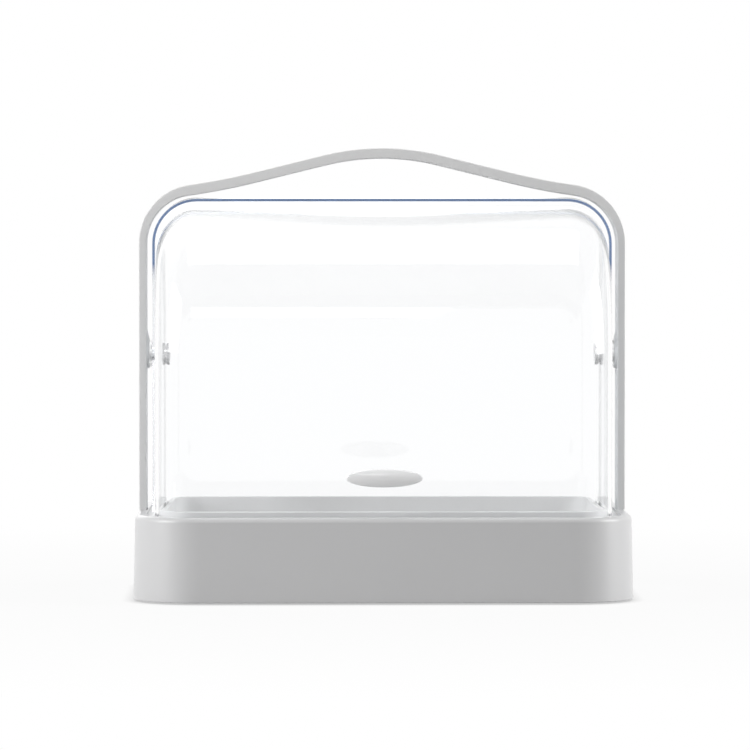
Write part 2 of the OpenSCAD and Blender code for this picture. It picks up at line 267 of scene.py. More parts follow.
def moulded_group():
    """Fine grain, slow flow marks and a touch of handling wear on moulded plastic."""
    group, given, out = effect(
        "moulded", [("Vector", "Vector", None), ("Grain", "Float", 900.0), ("Flow", "Float", 14.0)],
        [("Height", "Float"), ("Tone", "Float"), ("Wear", "Float")])
    fine = node(group, "TexNoise", Vector=given.outputs["Vector"], Scale=given.outputs["Grain"],
                Detail=3.0, Roughness=0.6)
    slow = node(group, "TexNoise", Vector=given.outputs["Vector"], Scale=given.outputs["Flow"],
                Detail=4.0, Roughness=0.55)
    smear = node(group, "Mapping", Vector=given.outputs["Vector"], Scale=(9.0, 9.0, 40.0))
    hand = node(group, "TexNoise", Vector=smear.outputs[0], Scale=3.0, Detail=5.0, Roughness=0.7)
    patch = node(group, "MapRange", Value=hand.outputs["Fac"], From_Min=0.52, From_Max=0.78)
    group.links.new(fine.outputs["Fac"], out.inputs["Height"])
    group.links.new(slow.outputs["Fac"], out.inputs["Tone"])
    group.links.new(patch.outputs["Result"], out.inputs["Wear"])
    return group


MOULDED = moulded_group()


def fresh(material_name):
    material = bpy.data.materials.new(material_name)
    material.use_nodes = True
    tree = material.node_tree
    return material, tree, tree.nodes["Principled BSDF"]


def plastic(material_name, colour, roughness, grain=900.0, depth=0.02, coat=0.0, shine=0.25):
    """Opaque moulded plastic: colour and roughness wander a little, with a fine grain on top."""
    material, tree, surface = fresh(material_name)
    where = node(tree, "TexCoord")
    look = node(tree, "Group", {"node_tree": MOULDED}, Vector=where.outputs["Object"], Grain=grain)
    darker = tuple(c * 0.965 for c in colour)
    tint = node(tree, "Mix", {"data_type": "RGBA"}, i0=look.outputs["Tone"],
                i6=(*colour, 1), i7=(*darker, 1))
    tree.links.new(tint.outputs[2], surface.inputs["Base Color"])
    rough = node(tree, "MapRange", Value=look.outputs["Wear"], To_Min=roughness, To_Max=roughness + 0.07)
    tree.links.new(rough.outputs["Result"], surface.inputs["Roughness"])
    bump = node(tree, "Bump", Height=look.outputs["Height"], Strength=0.25, Distance=depth * MM)
    tree.links.new(bump.outputs["Normal"], surface.inputs["Normal"])
    surface.inputs["IOR"].default_value = 1.5
    surface.inputs["Specular IOR Level"].default_value = shine
    surface.inputs["Coat Weight"].default_value = coat
    surface.inputs["Coat Roughness"].default_value = 0.12
    return material


def metal(material_name, colour, roughness, rings=700.0):
    """Turned or plated metal with faint tool marks."""
    material, tree, surface = fresh(material_name)
    where = node(tree, "TexCoord")
    marks = node(tree, "TexNoise", Vector=where.outputs["Object"], Scale=rings, Detail=3.0)
    rough = node(tree, "MapRange", Value=marks.outputs["Fac"], To_Min=roughness, To_Max=roughness + 0.15)
    tree.links.new(rough.outputs["Result"], surface.inputs["Roughness"])
    bump = node(tree, "Bump", Height=marks.outputs["Fac"], Strength=0.2, Distance=0.02 * MM)
    tree.links.new(bump.outputs["Normal"], surface.inputs["Normal"])
    surface.inputs["Base Color"].default_value = (*colour, 1)
    surface.inputs["Metallic"].default_value = 1.0
    return material


def let_light_by(tree, surface):
    """Lets light through to what is inside, a little dimmed by each face, and lets out a ray that has run
    far along inside the sheet."""
    rays = node(tree, "LightPath")
    bounced = node(tree, "Math", {"operation": "GREATER_THAN"}, i0=rays.outputs["Diffuse Depth"], i1=0.5)
    light = node(tree, "Math", {"operation": "MAXIMUM"}, i0=rays.outputs["Is Shadow Ray"],
                 i1=bounced.outputs[0])
    deep = node(tree, "Math", {"operation": "GREATER_THAN"}, i0=rays.outputs["Ray Depth"], i1=4.5)
    either = node(tree, "Math", {"operation": "MAXIMUM"}, i0=light.outputs[0], i1=deep.outputs[0])
    dimmed = node(tree, "Mix", {"data_type": "RGBA"}, i0=light.outputs[0], i6=(1, 1, 1, 1),
                  i7=(0.955, 0.96, 0.965, 1))
    see_through = node(tree, "BsdfTransparent", Color=dimmed.outputs[2])
    mixed = node(tree, "MixShader", i0=either.outputs[0], i1=surface.outputs[0], i2=see_through.outputs[0])
    tree.links.new(mixed.outputs[0], tree.nodes["Material Output"].inputs["Surface"])


def clear(material_name, colour, roughness=0.015):
    """Clear plastic, with the faintest waviness and a little dust."""
    material, tree, surface = fresh(material_name)
    where = node(tree, "TexCoord")
    wave = node(tree, "TexNoise", Vector=where.outputs["Object"], Scale=22.0, Detail=1.0)
    bump = node(tree, "Bump", Height=wave.outputs["Fac"], Strength=0.15, Distance=0.04 * MM)
    tree.links.new(bump.outputs["Normal"], surface.inputs["Normal"])
    dust = node(tree, "TexNoise", Vector=where.outputs["Object"], Scale=260.0, Detail=4.0)
    haze = node(tree, "MapRange", Value=dust.outputs["Fac"], From_Min=0.6, From_Max=0.8,
                To_Min=roughness, To_Max=roughness + 0.05)
    tree.links.new(haze.outputs["Result"], surface.inputs["Roughness"])
    surface.inputs["Base Color"].default_value = (*colour, 1)
    surface.inputs["Transmission Weight"].default_value = 1.0
    surface.inputs["IOR"].default_value = 1.47
    let_light_by(tree, surface)
    return material


def painted_glow_edge(material_name, colour, top, fade):
    """Cut edge of the clear sheet, with a painted glow in its colour: blue at the bend, where it gathers
    light, and fading below.
    """
    material, tree, surface = fresh(material_name)
    where = node(tree, "TexCoord")
    split = node(tree, "SeparateXYZ", Vector=where.outputs["Object"])
    share = node(tree, "MapRange", Value=split.outputs["Z"], From_Min=fade, From_Max=top)
    tint = node(tree, "Mix", {"data_type": "RGBA"}, i0=share.outputs["Result"],
                i6=(0.86, 0.88, 0.92, 1), i7=(*colour, 1))
    tree.links.new(tint.outputs[2], surface.inputs["Base Color"])
    fine = node(tree, "TexNoise", Vector=where.outputs["Object"], Scale=800.0, Detail=2.0)
    rough = node(tree, "MapRange", Value=fine.outputs["Fac"], To_Min=0.15, To_Max=0.3)
    tree.links.new(rough.outputs["Result"], surface.inputs["Roughness"])
    surface.inputs["Transmission Weight"].default_value = 0.85
    surface.inputs["IOR"].default_value = 1.47
    let_light_by(tree, surface)
    return material


# The base's white is set darker than the arch's: a painted shade for the dimmer light that falls low on the
# base.
WHITE = plastic("satin_white", (0.645, 0.645, 0.65), 0.3, shine=0.5)
ARCH_WHITE = plastic("arch_white", (0.815, 0.815, 0.815), 0.5, shine=0.08)
TRAY_WHITE = plastic("tray_white", (0.85, 0.85, 0.85), 0.5, grain=600.0, depth=0.05)
PLATE_WHITE = plastic("plate_white", (0.72, 0.72, 0.73), 0.6, grain=400.0, depth=0.08)
GLOSS_WHITE = plastic("gloss_white", (0.93, 0.93, 0.935), 0.2, coat=0.4, shine=0.5)
NYLON = plastic("nylon", (0.88, 0.88, 0.88), 0.4, shine=0.5)
RUBBER = plastic("rubber_grey", (0.2, 0.2, 0.205), 0.75, grain=500.0, depth=0.15)
STEEL = metal("turned_steel", (0.9, 0.9, 0.91), 0.2)
PLATED = metal("plated_screw", (0.68, 0.68, 0.70), 0.18)
CLEAR = clear("clear_sheet", (0.994, 0.997, 1.0))
CLEAR_NYLON = clear("clear_nylon", (0.97, 0.975, 0.975), 0.3)
# Heights between which the edge's painted glow fades from full blue at the top to a pale grey below.
BLUE_TOP, BLUE_END = 202.5 * MM, 192 * MM
PAINTED_BLUE_GLOW = painted_glow_edge("blue_edge", (0.03, 0.065, 0.19), BLUE_TOP, BLUE_END)


# ---- Sizes ----

shell_low, shell_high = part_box("base_shell")
arch_low, arch_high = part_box("handle_arch")
rear_low, rear_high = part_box("rear_cover")
front_low, front_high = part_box("front_cover")
liner_low, liner_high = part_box("tray_liner")
grip_low, grip_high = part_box("cover_grip")
plate_low, plate_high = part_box("base_plate")
pin_low, pin_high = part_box("pivot_pin_right")
cap_low, cap_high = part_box("pivot_cap_right")
foot_low, foot_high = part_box("foot_rear_right")
pivot = Vector(frame["joints"][0]["pos_m"])

FIT = 0.3 * MM
# Base: skirt, rim, the channel that the covers stand in and the ledge under it
HALF_W, HALF_D = shell_high.x, shell_high.y
RIM_Z = shell_high.z
CHANNEL_Z = rear_low.z + 6.6 * MM
LEDGE_Z = CHANNEL_Z - 2.6 * MM
BASE_CORNER = 40 * MM
SKIRT = 2.6 * MM
SOCKET_WALL = 2.4 * MM
DRAFT = 1 * MM
RIM_ROUND = 3.2 * MM
CHANNEL_HALF = Vector((HALF_W - 8 * MM, HALF_D - 4 * MM))
CHANNEL_CORNER = 28 * MM
# Tray and base plate
TRAY_FLOOR = liner_low.z + 2 * MM
COLLAR_LAP = 1.4 * MM
TRAY_HALF = Vector((liner_high.x - COLLAR_LAP, liner_high.y - COLLAR_LAP))
TRAY_CORNER = 20.1 * MM
PLATE_T = 2.4 * MM
RIB_HALF = 0.9 * MM
POSTS = [(sx * x, sy * y) for x, y in ((141 * MM, 56.5 * MM), (82 * MM, 91.75 * MM))
         for sx in (-1, 1) for sy in (-1, 1)]
# Covers, and the tabs that hold the rear one
COVER_WALL = 2 * MM
COVER_LAP = 12 * MM
REAR_CORNER = 27.5 * MM
FRONT_CORNER = 24.5 * MM
VISOR_LIFT = 0.9 * MM
TAB_X = 70 * MM
TAB_HALF = 10 * MM
# Arch: thickness at the crown, radii of the outer outline and its slopes in degrees
LEG_IN = arch_high.x - 4.6 * MM
CROWN_T = 6.2 * MM
CROWN_R = 150 * MM
SWEEP_R = 400 * MM
SHOULDER_R = 36 * MM
CROWN_FALL = 13.8
SHOULDER_FALL = 8
TENON_HALF = 11 * MM
TENON_T = HALF_W - SKIRT - FIT - LEG_IN
# Pivots
BOSS_R = 9 * MM
BOSS_FACE = LEG_IN - 1.6 * MM
RING_R = 8 * MM
RING_BORE = 4.1 * MM
VISOR_BORE = 4.05 * MM
PIN_HEAD = 1.4 * MM
FLUTES = 12
# Grip
GRIP_Z = (grip_low.z + grip_high.z) / 2
GRIP_CROWN = 2.2 * MM
GRIP_NECK = 2.5 * MM
NECK_HALF = Vector((16.4 * MM, 0, 3.7 * MM))
NECK_FOOT = Vector((16 * MM, 0, 3.5 * MM))
# Screws
SCREW_HEAD = 1.6 * MM
SCREW_PITCH = 0.9 * MM
PLATE_SCREW_L = 12 * MM
ARCH_SCREW_L = TENON_T + 2.6 * MM
ARCH_SCREWS = [(LEG_IN - FIT - SOCKET_WALL, y, RIM_Z - 17 * MM) for y in (-6 * MM, 6 * MM)]
GRIP_SCREW_L = 7.1 * MM
GRIP_SCREWS = [(x, front_low.y + COVER_WALL, GRIP_Z) for x in (-10 * MM, 10 * MM)]
# Feet: the way to each corner
FEET = {"front_left": (-1, -1), "front_right": (1, -1), "rear_left": (-1, 1), "rear_right": (1, 1)}
FOOT_R = (foot_high.x - foot_low.x) / 2
FOOT_X, FOOT_Y = (foot_high.x + foot_low.x) / 2, (foot_high.y + foot_low.y) / 2


# ---- Screws ----

def make_screw(screw_name, length):
    """Countersunk screw with rings for its thread and a cross recess: head at z = 0, point up."""
    leave()
    bpy.ops.mesh.primitive_cone_add(
        vertices=24, radius1=2.7 * MM, radius2=1.4 * MM, depth=SCREW_HEAD, location=(0, 0, SCREW_HEAD / 2))
    piece = named(screw_name)
    edit(piece, "FACE")
    pick_face(piece, 2, SCREW_HEAD, 1)
    turns = int((length - SCREW_HEAD - 1 * MM) / SCREW_PITCH)
    for _ in range(turns):
        for wider in (0.8, 1 / 0.8):
            pull((0, 0, SCREW_PITCH / 3))
            stretch(wider, wider, 1)
            pull((0, 0, SCREW_PITCH / 6))
    pull((0, 0, length - SCREW_HEAD - turns * SCREW_PITCH))
    stretch(0.3, 0.3, 1)
    for turn in (0, 1):
        half = Vector((1.5 * MM, 0.3 * MM, 0)) if turn == 0 else Vector((0.3 * MM, 1.5 * MM, 0))
        slot_box = block("recess", -half - Vector((0, 0, PAST)), half + Vector((0, 0, 0.9 * MM)))
        edit(slot_box, "FACE")
        pick_face(slot_box, 2, 0.9 * MM, 1)
        stretch(0.5, 0.5, 1)
        cut(piece, slot_box)
    smooth(piece, 40)
    return piece


def screw_cutter(at, axis, length):
    """Hole for that screw along an axis, with its countersink, a little wider all round."""
    leave()
    bpy.ops.mesh.primitive_cone_add(
        vertices=32, radius1=2.85 * MM, radius2=1.5 * MM, depth=SCREW_HEAD, location=(0, 0, SCREW_HEAD / 2))
    piece = named("screw_cutter")
    edit(piece, "FACE")
    pick_face(piece, 2, SCREW_HEAD, 1)
    pull((0, 0, length - SCREW_HEAD + 0.1 * MM))
    pick_face(piece, 2, 0, -1)
    pull((0, 0, -PAST))
    leave()
    piece.rotation_euler = {"x": (0, math.pi / 2, 0), "y": (math.pi / 2, 0, 0), "z": (0, 0, 0)}[axis]
    piece.location = Vector(at)
    settle(piece)
    return piece


PLATE_SCREW = make_screw("plate_screw", PLATE_SCREW_L)
ARCH_SCREW = make_screw("arch_screw", ARCH_SCREW_L)
GRIP_SCREW = make_screw("grip_screw", GRIP_SCREW_L)


# ---- Base ----

def rounded(cutter_name, half, corner, low_z, high_z):
    """Block in the middle with rounded upright corners."""
    cutter = block(cutter_name, (-half.x, -half.y, low_z), (half.x, half.y, high_z))
    round_posts(cutter, corner)
    return cutter


def make_base_shell():
    piece = block("base_shell_body", shell_low, shell_high)
    round_posts(piece, BASE_CORNER)
    pick_face(piece, 2, RIM_Z, 1)
    stretch(1 - DRAFT / HALF_W, 1 - DRAFT / HALF_D, 1)
    # Hollow underside
    pick_face(piece, 2, shell_low.z, -1)
    bpy.ops.mesh.inset(thickness=SKIRT)
    pull((0, 0, LEDGE_Z - shell_low.z))
    leave()
    round_loop(piece, RIM_Z, 1, RIM_ROUND, 8)
    round_loop(piece, shell_low.z, 1, 0.6 * MM, 3)
    # Channel for the covers, and the tray's opening in the ledge
    cut(piece, rounded("channel", CHANNEL_HALF, CHANNEL_CORNER, CHANNEL_Z, RIM_Z + PAST))
    cut(piece, rounded("opening", TRAY_HALF + Vector((FIT, FIT)), TRAY_CORNER + FIT, LEDGE_Z - PAST,
                       CHANNEL_Z + PAST))
    round_loop(piece, RIM_Z, -1, 0.35 * MM, 2)
    round_loop(piece, CHANNEL_Z, -1, 0.3 * MM, 2)
    for side in (-1, 1):
        x0, x1 = sorted((side * (LEG_IN - FIT), side * (LEG_IN + TENON_T + 0.25 * MM)))
        cut(piece, block("tenon_slot", (x0, -TENON_HALF - FIT, LEDGE_Z - PAST),
                         (x1, TENON_HALF + FIT, RIM_Z + PAST)))
        slot_half = TAB_HALF + FIT
        cut(piece, block("tab_slot",
                         (side * TAB_X - slot_half, rear_high.y - COVER_WALL - FIT, LEDGE_Z - PAST),
                         (side * TAB_X + slot_half, rear_high.y + FIT, CHANNEL_Z + 0.5 * MM)))
    return piece


def make_screw_posts():
    """Posts under the ledge that take the plate screws."""
    post = rod("post", 4 * MM, (0, 0, plate_high.z), "z", LEDGE_Z + 0.2 * MM - plate_high.z, 40)
    cut(post, screw_cutter((0, 0, plate_low.z), "z", PLATE_SCREW_L))
    posts = [copied(post, "post_copy", (x, y, 0)) for x, y in POSTS]
    bpy.data.objects.remove(post)
    return posts


def make_tenon_sockets():
    """Pockets under the rim that the arch's tenons slide into."""
    low_z = arch_low.z
    reach = TENON_HALF + FIT + SOCKET_WALL
    socket = block("socket", (LEG_IN - FIT - SOCKET_WALL, -reach, low_z),
                   (HALF_W - SKIRT + 0.1 * MM, reach, LEDGE_Z + 0.2 * MM))
    cut(socket, block("pocket", (LEG_IN - FIT, -TENON_HALF - FIT, low_z - PAST),
                      (HALF_W, TENON_HALF + FIT, RIM_Z)))
    for at in ARCH_SCREWS:
        cut(socket, screw_cutter(at, "x", ARCH_SCREW_L))
    round_sharp(socket, 0.2 * MM, 1, test=lambda e: all(v.co.z < LEDGE_Z for v in e.verts)
                and e.calc_length() > 4 * MM)
    return [socket, copied(socket, "socket_left", flip_x=True)]


base_shell = joined([make_base_shell()] + make_screw_posts() + make_tenon_sockets(), "base_shell_body")
smooth(base_shell)
place(base_shell, "base", "base_white", WHITE, "base_shell")


def make_tray():
    """Deep tray with a rounded floor and a collar that hangs on the ledge."""
    collar = liner_high
    piece = block("tray", (-collar.x, -collar.y, CHANNEL_Z), collar)
    round_posts(piece, TRAY_CORNER + COLLAR_LAP, 16)
    pick_face(piece, 2, CHANNEL_Z, -1)
    bpy.ops.mesh.inset(thickness=COLLAR_LAP)
    pull((0, 0, liner_low.z - CHANNEL_Z))
    pick_face(piece, 2, collar.z, 1)
    bpy.ops.mesh.inset(thickness=COLLAR_LAP + 2 * MM)
    pull((0, 0, TRAY_FLOOR - collar.z))
    # Panel sunk a little into the floor
    bpy.ops.mesh.inset(thickness=6 * MM)
    bpy.ops.mesh.inset(thickness=0.8 * MM)
    pull((0, 0, -0.4 * MM))
    leave()
    round_loop(piece, TRAY_FLOOR, -1, 3.5 * MM, 5)
    round_loop(piece, liner_low.z, 1, 3 * MM, 4)
    round_loop(piece, collar.z, 1, 0.7 * MM, 3)
    round_loop(piece, collar.z, -1, 0.7 * MM, 3)
    round_loop(piece, CHANNEL_Z, 1, 0.3 * MM, 2)
    smooth(piece)
    return piece


place(make_tray(), "base", "tray_white", TRAY_WHITE, "tray_liner")


def make_plate():
    """Base plate with its stiffening ribs, a groove below, screw holes and seats for the feet."""
    piece = block("bottom_plate", plate_low, (plate_high.x, plate_high.y, plate_low.z + PLATE_T))
    round_posts(piece, BASE_CORNER - SKIRT - FIT, 16)
    pick_face(piece, 2, plate_low.z, -1)
    bpy.ops.mesh.inset(thickness=16 * MM)
    bpy.ops.mesh.inset(thickness=1 * MM)
    pull((0, 0, 0.5 * MM))
    bpy.ops.mesh.inset(thickness=2 * MM)
    bpy.ops.mesh.inset(thickness=1 * MM)
    pull((0, 0, -0.5 * MM))
    leave()
    round_loop(piece, plate_low.z, 1, 0.5 * MM, 2)
    for x, y in POSTS:
        cut(piece, screw_cutter((x, y, plate_low.z), "z", 6 * MM))
    for sx, sy in FEET.values():
        cut(piece, rod("foot_seat", FOOT_R + 0.1 * MM, (sx * FOOT_X, sy * FOOT_Y, 0), "z", foot_high.z))
    ribs = []
    reach = TRAY_HALF - Vector((TRAY_CORNER, TRAY_CORNER))
    rib_low = plate_low.z + PLATE_T - 0.2 * MM
    for step in range(5):
        x = reach.x * (step - 2) / 2
        ribs.append(block("rib", (x - RIB_HALF, -reach.y - RIB_HALF, rib_low),
                          (x + RIB_HALF, reach.y + RIB_HALF, plate_high.z)))
    for step in range(3):
        y = reach.y * (step - 1)
        ribs.append(block("rib", (-reach.x, y - RIB_HALF, rib_low),
                          (reach.x, y + RIB_HALF, plate_high.z - 0.05 * MM)))
    piece = joined([piece] + ribs, "bottom_plate")
    smooth(piece)
    return piece


place(make_plate(), "base", "plate_white", PLATE_WHITE, "base_plate")


def make_foot():
    """Rubber foot: a disc with a rounded lower rim."""
    piece = rod("foot", FOOT_R, (0, 0, 0), "z", foot_high.z, 48)
    round_loop(piece, 0, 1, 0.5 * MM, 3)
    smooth(piece)
    return piece


foot = make_foot()
for corner, (sx, sy) in FEET.items():
    place(copied(foot, "foot_" + corner + "_pad", (sx * FOOT_X, sy * FOOT_Y, 0)),
          "base", "foot_rubber", RUBBER, "foot_" + corner)
bpy.data.objects.remove(foot)

place(joined([copied(PLATE_SCREW, "plate_screw_copy", (x, y, plate_low.z)) for x, y in POSTS],
             "plate_screw_set"), "base", "screw_steel", PLATED, "plate_screws")


# ---- Arch handle ----

def arc(start, radius, a0, a1, steps=16):
    """Points of an arc from a start, its heading turning from a0 to a1 degrees below the horizontal."""
    turns = [math.radians(a0 + (a1 - a0) * i / steps) for i in range(1, steps + 1)]
    s0, c0 = math.sin(math.radians(a0)), math.cos(math.radians(a0))
    return [(start[0] + radius * (math.sin(a) - s0), start[1] + radius * (math.cos(a) - c0)) for a in turns]


def arch_outline(leg, grown):
    """Half outline of the arch from the middle of its crown down to the rim, grown from the inner one."""
    crown = CROWN_R - CROWN_T + grown
    sweep = SWEEP_R + CROWN_T - grown
    corner = SHOULDER_R - CROWN_T + grown
    s1, s2 = math.sin(math.radians(CROWN_FALL)), math.sin(math.radians(SHOULDER_FALL))
    level = leg - crown * s1 - sweep * (s1 - s2) - corner * (1 - s2)
    points = [(0, arch_high.z - CROWN_T + grown)]
    points += arc(points[-1], crown, 0, CROWN_FALL, 10)
    points.append((points[-1][0] + level, points[-1][1] - level * math.tan(math.radians(CROWN_FALL))))
    points += arc(points[-1], -sweep, CROWN_FALL, SHOULDER_FALL, 8)
    points += arc(points[-1], corner, SHOULDER_FALL, 90, 18)
    return points + [(leg, points[-1][1] * 0.5 + RIM_Z * 0.5), (leg, RIM_Z)]


def at_point(vertex, point):
    return abs(vertex.co.x - point[0]) < NEAR and abs(vertex.co.z - point[1]) < NEAR


def make_arch():
    """Arch swept along its two outlines, with its upper edges rounded; make_handle adds the bosses for the
    pivots and the tenons below.
    """
    inner = arch_outline(LEG_IN, 0)
    outer = arch_outline(arch_high.x, CROWN_T)
    half_band = arch_high.y
    leave()
    bpy.ops.mesh.primitive_plane_add(
        size=1, location=(0, 0, (inner[0][1] + outer[0][1]) / 2), rotation=(0, math.pi / 2, 0))
    bpy.context.object.scale = (outer[0][1] - inner[0][1], 2 * half_band, 1)
    piece = named("arch_band")
    edit(piece, "VERT")
    for i in range(1, len(inner)):
        pick(piece, "verts", lambda v: at_point(v, inner[i - 1]) or at_point(v, outer[i - 1]))
        step = (inner[i][0] - inner[i - 1][0], inner[i][1] - inner[i - 1][1])
        pull((step[0], 0, step[1]))
        moved = (outer[i - 1][0] + step[0], outer[i - 1][1] + step[1])
        pick(piece, "verts", lambda v: at_point(v, moved))
        bpy.ops.transform.translate(value=(outer[i][0] - moved[0], 0, outer[i][1] - moved[1]))
    bpy.ops.mesh.select_mode(type="FACE")
    pick(piece, "faces", lambda f: abs(middle(f).x) < TINY and abs(f.normal.x) > 0.9)
    bpy.ops.mesh.delete(type="FACE")
    leave()
    modify(piece, "MIRROR", use_mirror_merge=True, merge_threshold=NEAR)
    merge(piece)
    round_sharp(piece, 0.6 * MM, 3, test=lambda e: any(v.co.z > RIM_Z + TINY for v in e.verts))
    return piece


def make_boss():
    """Boss on the inside of a leg, spreading into it at the sides and most of all above."""
    buried = LEG_IN + PAST
    piece = rod("boss", BOSS_R, (BOSS_FACE, 0, pivot.z), "x", buried - BOSS_FACE, 72)
    edit(piece, "FACE")
    pick_face(piece, 0, buried, 1)
    stretch(1, 1.3, 1.65, (0, 0, pivot.z - BOSS_R))
    leave()
    round_sharp(piece, 0.3 * MM, 2, 30, test=lambda e: all(v.co.x < LEG_IN for v in e.verts))
    return piece


def make_tenon():
    piece = block("tenon", (LEG_IN, -TENON_HALF, arch_low.z), (LEG_IN + TENON_T, TENON_HALF, RIM_Z))
    for at in ARCH_SCREWS:
        cut(piece, screw_cutter(at, "x", ARCH_SCREW_L))
    round_sharp(piece, 0.5 * MM, 2, test=lambda e: all(v.co.z < arch_low.z + TINY for v in e.verts))
    return piece


def make_handle():
    band = make_arch()
    boss = make_boss()
    for part in (copied(boss, "boss_left", flip_x=True), boss):
        cut(band, part, "UNION")
    for side in (-1, 1):
        cut(band, rod("pin_hole", 2.6 * MM, (side * (LEG_IN - 3 * MM), 0, pivot.z), "x",
                      side * (pin_high.x + 0.1 * MM - LEG_IN + 3 * MM), 32))
    tenon = make_tenon()
    handle = joined([band, copied(tenon, "tenon_left", flip_x=True), tenon], "arch_band")
    smooth(handle)
    return handle


place(make_handle(), "base", "arch_white", ARCH_WHITE, "handle_arch")

arch_screws = [copied(ARCH_SCREW, "arch_screw_copy", at, turn=(0, math.pi / 2, 0)) for at in ARCH_SCREWS]
arch_screws += [copied(screw, "arch_screw_left", flip_x=True) for screw in list(arch_screws)]
place(joined(arch_screws, "arch_screw_set"), "base", "screw_steel", PLATED, "arch_screws")


# ---- Clear covers ----

def cut_bore(piece, radius, low_x, high_x, sides=64):
    """Cuts a bore on the hinge's axis through what lies between two places."""
    cut(piece, rod("bore", radius, (low_x - PAST, 0, pivot.z), "x", high_x - low_x + 2 * PAST, sides))


def make_cover(cover_name, half_w, radius, corner, bottom_z, trim=0):
    """Clear cover: flat sides and a rounded back, straight below the pivot and turned about it above.
    Trim lifts the lower corners of its lap, to keep them inside the circle that they swing on."""
    leave()
    bpy.ops.mesh.primitive_plane_add(size=1, location=(0, radius / 2, pivot.z))
    bpy.context.object.scale = (2 * half_w, radius, 1)
    piece = named(cover_name)
    edit(piece, "VERT")
    pick(piece, "verts", lambda v: v.co.y > radius - TINY)
    bpy.ops.mesh.bevel(offset=corner, segments=14, profile=0.5, affect="VERTICES")
    bpy.ops.mesh.select_all(action="SELECT")
    bpy.ops.mesh.delete(type="ONLY_FACE")
    bpy.ops.mesh.select_mode(type="EDGE")
    pick(piece, "edges", lambda e: abs(middle(e).y) < TINY and e.calc_length() > half_w)
    bpy.ops.mesh.delete(type="EDGE")
    bpy.ops.mesh.select_all(action="SELECT")
    bpy.ops.mesh.spin(steps=48, angle=SPIN_WAY * math.pi, center=pivot, axis=(1, 0, 0))
    pick(piece, "edges", lambda e: all(abs(v.co.z - pivot.z) < TINY for v in e.verts)
         and middle(e).y > TINY)
    pull((0, 0, bottom_z - pivot.z))
    pick(piece, "edges", lambda e: all(abs(v.co.y) < TINY for v in e.verts)
         and middle(e).z < pivot.z - TINY)
    pull((0, -COVER_LAP - PAST, 0))
    if trim:
        bpy.ops.mesh.select_mode(type="VERT")
        pick(piece, "verts", lambda v: v.co.y < -COVER_LAP and abs(v.co.z - bottom_z) < TINY)
        bpy.ops.transform.translate(value=(0, 0, trim))
    bpy.ops.mesh.select_all(action="SELECT")
    bpy.ops.mesh.bisect(plane_co=(0, -COVER_LAP - PAST, 0), plane_no=(0, 1, 0), clear_inner=True)
    merge(piece)
    modify(piece, "SOLIDIFY", thickness=COVER_WALL, offset=-1, use_even_offset=True)
    edit(piece, "FACE")
    bpy.ops.mesh.select_all(action="SELECT")
    bpy.ops.mesh.bisect(plane_co=(0, -COVER_LAP, 0), plane_no=(0, 1, 0), use_fill=True, clear_inner=True)
    merge(piece)
    round_sharp(piece, 0.45 * MM, 2)
    # Flat sides as single faces, so that the bores cut cleanly
    edit(piece, "FACE")
    pick(piece, "faces", lambda f: abs(f.normal.x) > 0.9999)
    bpy.ops.mesh.dissolve_limited(angle_limit=math.radians(0.3))
    leave()
    return piece


def tint_edge(piece, y, way):
    """Gives the cut edge of a cover its painted glow."""
    piece.data.materials.append(PAINTED_BLUE_GLOW)
    edit(piece, "FACE")
    pick(piece, "faces", lambda f: f.normal.y * way > 0.98
         and all(abs(v.co.y - y) < 0.1 * MM for v in f.verts))
    piece.active_material_index = 1
    bpy.ops.object.material_slot_assign()
    leave()


def make_rear_cover():
    piece = make_cover("rear_dome", rear_high.x, rear_high.y, REAR_CORNER, CHANNEL_Z)
    for side in (-1, 1):
        tab = block("tab", (side * TAB_X - TAB_HALF, rear_high.y - COVER_WALL + 0.05 * MM, rear_low.z),
                    (side * TAB_X + TAB_HALF, rear_high.y - 0.05 * MM, CHANNEL_Z + 1.5 * MM))
        round_sharp(tab, 0.6 * MM, 3, test=lambda e: all(v.co.z < rear_low.z + TINY for v in e.verts))
        cut(piece, tab, "UNION")
    cut_bore(piece, RING_BORE, -rear_high.x, rear_high.x)
    smooth(piece)
    return piece


rear_dome = place(make_rear_cover(), "base", "clear_rear", CLEAR, "rear_cover")
tint_edge(rear_dome, -COVER_LAP, -1)


def make_front_cover():
    piece = make_cover("front_visor", front_high.x, -front_low.y, FRONT_CORNER, front_low.z, VISOR_LIFT)
    take(piece)
    piece.scale = (1, -1, 1)
    settle(piece)
    merge(piece)
    cut_bore(piece, VISOR_BORE, -front_high.x, front_high.x)
    for at in GRIP_SCREWS:
        cut(piece, screw_cutter(at, "y", 7 * MM))
    smooth(piece)
    return piece


place(make_front_cover(), "visor", "clear_front", CLEAR, "front_cover")


